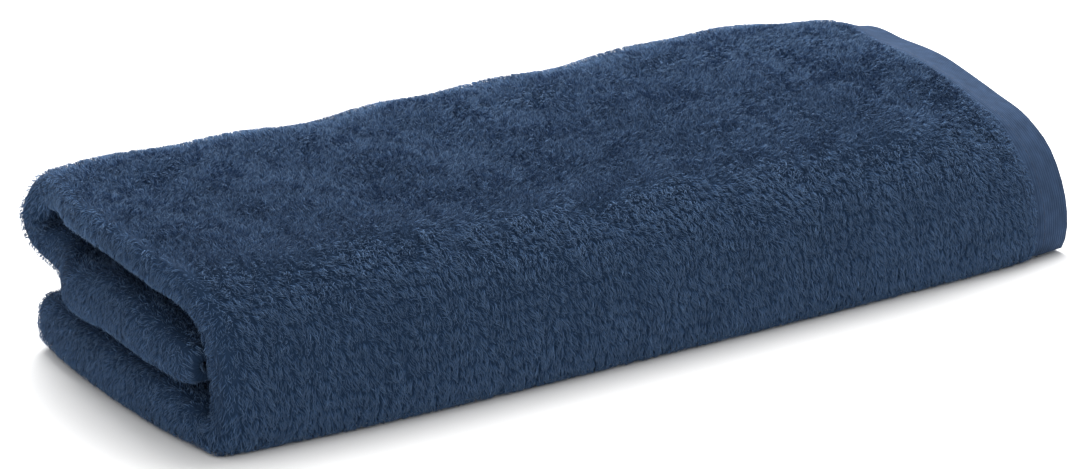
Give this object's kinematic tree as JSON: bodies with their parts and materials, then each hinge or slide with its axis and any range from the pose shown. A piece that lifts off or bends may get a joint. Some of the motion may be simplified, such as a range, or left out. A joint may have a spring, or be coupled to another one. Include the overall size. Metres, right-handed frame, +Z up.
{
  "type": "folded pool towel",
  "caption": "Thick plush terry pool towel, folded in half and then in thirds, lying flat with its half fold at one end and its flat woven hems at the other.",
  "frame": {"origin": "on the surface the towel lies on, under the middle of its bounding box", "axes": "+X along the folded length from the half fold to the hems, +Y towards the back fold, +Z up"},
  "size_m": [0.7144, 0.2874, 0.1417],
  "materials": {
    "terry": "deep navy plush terry pile, matt"
  },
  "bodies": {
    "root": {"towel": "terry"}
  },
  "joints": []
}
